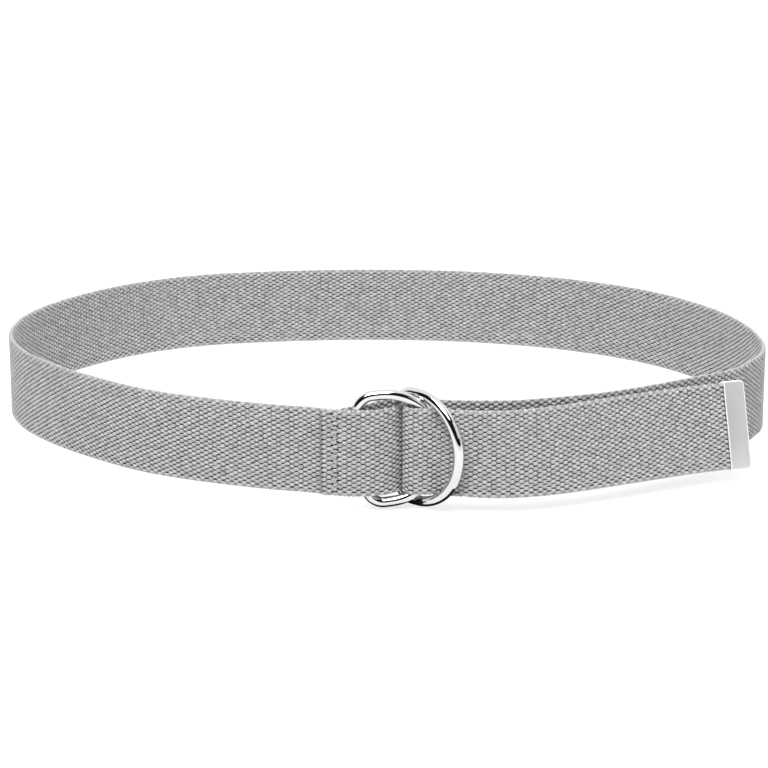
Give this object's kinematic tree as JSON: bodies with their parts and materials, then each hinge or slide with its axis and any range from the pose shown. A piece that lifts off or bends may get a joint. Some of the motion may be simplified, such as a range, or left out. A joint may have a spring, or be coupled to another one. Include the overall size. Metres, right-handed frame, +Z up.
{
  "type": "double ring belt",
  "caption": "Webbing waist belt fastened by passing its free end through two D-rings, closed into a loop with the free tail lying along the front.",
  "frame": {"origin": "on the ground, under the middle of the belt's box", "axes": "+Z up out of the waist, +X along the belt's greater width, +Y from the rings at the front to the back of the waist"},
  "size_m": [0.36, 0.2814, 0.0534],
  "materials": {
    "canvas": "light grey cotton canvas webbing, plain weave",
    "ring_metal": "polished nickel plate",
    "tip_metal": "satin nickel plate"
  },
  "bodies": {
    "root": {"strap": "canvas", "inner_ring": "ring_metal", "outer_ring": "ring_metal", "strap_tip": "tip_metal"}
  },
  "joints": []
}
